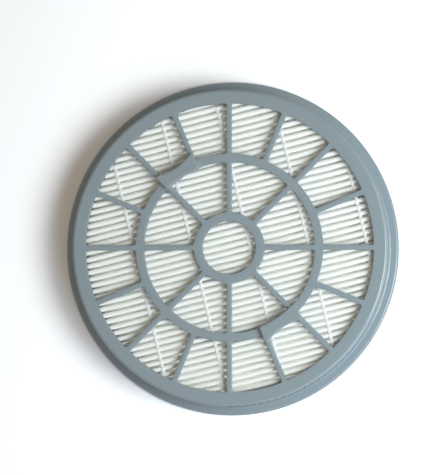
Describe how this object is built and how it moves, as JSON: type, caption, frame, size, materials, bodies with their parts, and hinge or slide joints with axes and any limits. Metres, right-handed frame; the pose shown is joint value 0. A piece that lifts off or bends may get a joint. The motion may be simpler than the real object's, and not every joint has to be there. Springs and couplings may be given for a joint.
{
  "type": "vacuum hepa filter",
  "caption": "Round flanged vacuum filter cartridge: slate plastic frame with a spoked grille and raised finger grips over white pleated media.",
  "frame": {"origin": "centre of the base, on the seating plane of the gasket", "axes": "+Z through the grille face, +X and +Y along grille spokes, finger grips on the diagonal"},
  "size_m": [0.15, 0.15, 0.0203],
  "materials": {
    "frame_plastic": "moulded ABS, slate blue-grey, satin",
    "filter_media": "white non-woven glass and polyester filter sheet",
    "sealant": "cast polyurethane, cream",
    "gasket_rubber": "soft black rubber",
    "hot_melt": "whitish hot-melt adhesive, slightly glossy"
  },
  "bodies": {
    "root": {"filter_frame": "frame_plastic", "pleated_media": "filter_media", "edge_sealant": "sealant", "flange_gasket": "gasket_rubber", "front_glue_bead_1": "hot_melt", "front_glue_bead_2": "hot_melt", "front_glue_bead_3": "hot_melt", "front_glue_bead_4": "hot_melt", "front_glue_bead_5": "hot_melt", "rear_glue_bead_1": "hot_melt", "rear_glue_bead_2": "hot_melt", "rear_glue_bead_3": "hot_melt", "rear_glue_bead_4": "hot_melt", "rear_glue_bead_5": "hot_melt"}
  },
  "joints": []
}
